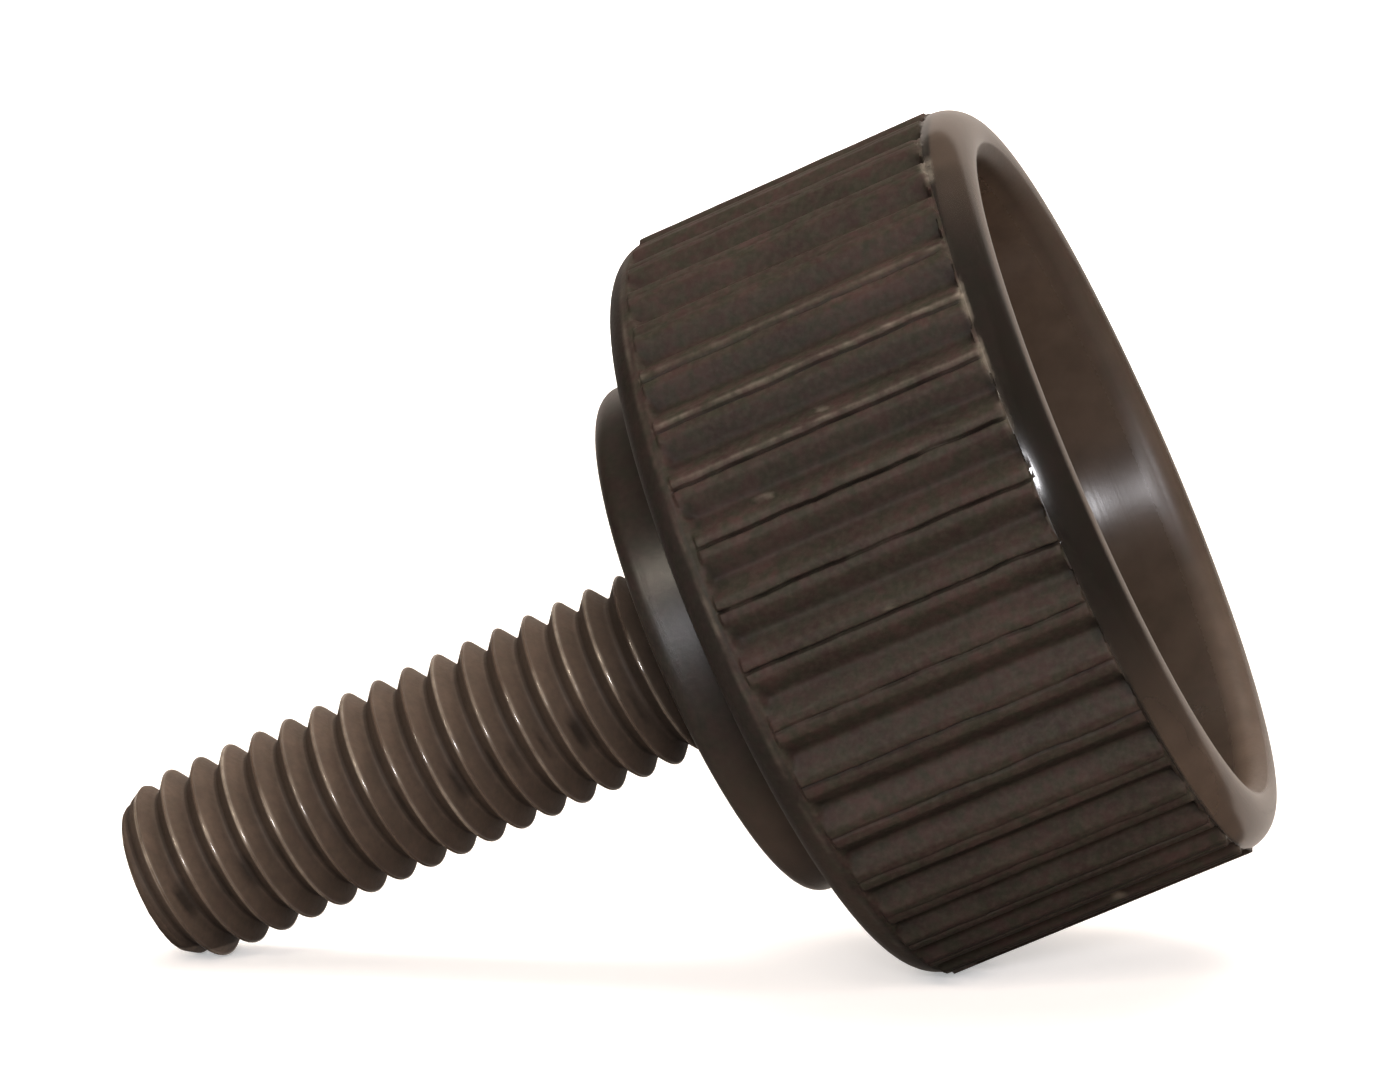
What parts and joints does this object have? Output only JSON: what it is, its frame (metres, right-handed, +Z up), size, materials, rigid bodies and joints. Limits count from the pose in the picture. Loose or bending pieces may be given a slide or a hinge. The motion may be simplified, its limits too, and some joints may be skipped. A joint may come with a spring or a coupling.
{
  "type": "knurled thumb screw",
  "caption": "Turned steel thumb screw with a threaded shank, a seating collar and a wide knurled head with a deep round cup in its end, tightened by hand.",
  "frame": {"origin": "centre of the bounding box on the surface that the screw lies on", "axes": "+Z up; the screw's axis lies in the XZ plane and rises towards +X, with the point towards -X and the cup facing +X and up"},
  "size_m": [0.0342, 0.0232, 0.025],
  "materials": {
    "blackened_steel": "black oxide, satin, worn to bare steel at the thread crests and knurl ends"
  },
  "bodies": {
    "root": {"screw": "blackened_steel"}
  },
  "joints": []
}
